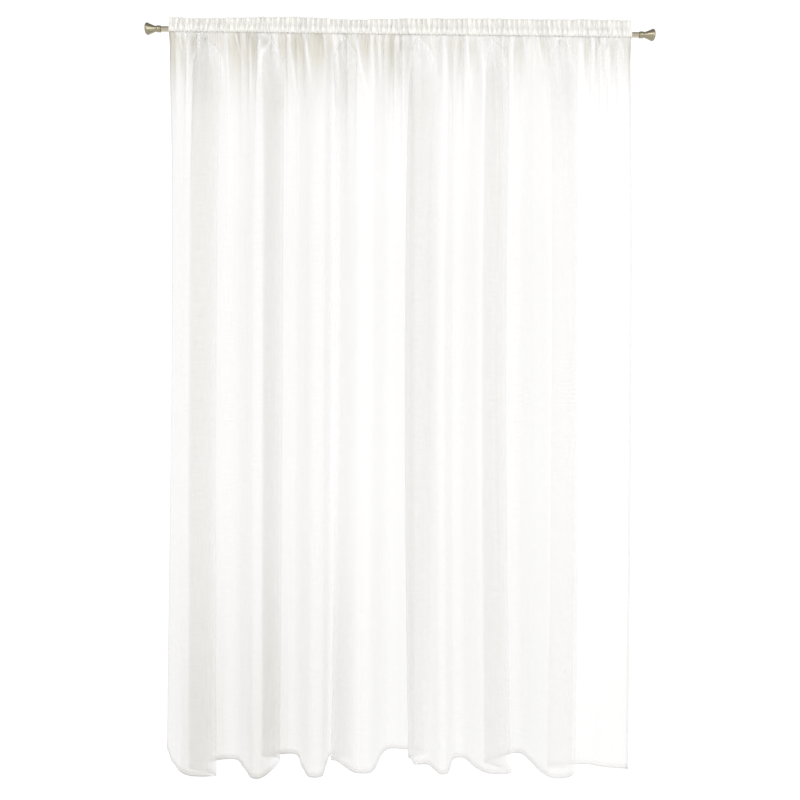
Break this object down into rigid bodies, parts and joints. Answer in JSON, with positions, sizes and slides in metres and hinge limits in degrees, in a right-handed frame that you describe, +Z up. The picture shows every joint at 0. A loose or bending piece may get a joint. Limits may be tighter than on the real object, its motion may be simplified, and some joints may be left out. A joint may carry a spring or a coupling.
{
  "type": "sheer voile curtain on a curtain rod",
  "caption": "sheer voile curtain gathered on a slim metal rod through a ruffled rod pocket, hanging in soft folds, with flared finials",
  "frame": {"origin": "on the rod's axis at the middle of its length, where the wall brackets carry it", "axes": "+Z up, +X along the rod to the viewer's right, -Y towards the viewer"},
  "size_m": [1.7136, 0.2486, 2.5064],
  "materials": {
    "voile": "sheer plain weave polyester voile, off white, see-through, soft matt",
    "heading": "the same voile in several gathered layers, denser and nearly opaque",
    "rod_metal": "satin champagne nickel plated steel tube",
    "finial_metal": "satin champagne nickel plated turned metal"
  },
  "bodies": {
    "root": {"voile_panel": "voile", "heading_sleeve": "heading", "rod_tube": "rod_metal", "finial_left": "finial_metal", "finial_right": "finial_metal", "end_cap_left": "finial_metal", "end_cap_right": "finial_metal"}
  },
  "joints": []
}
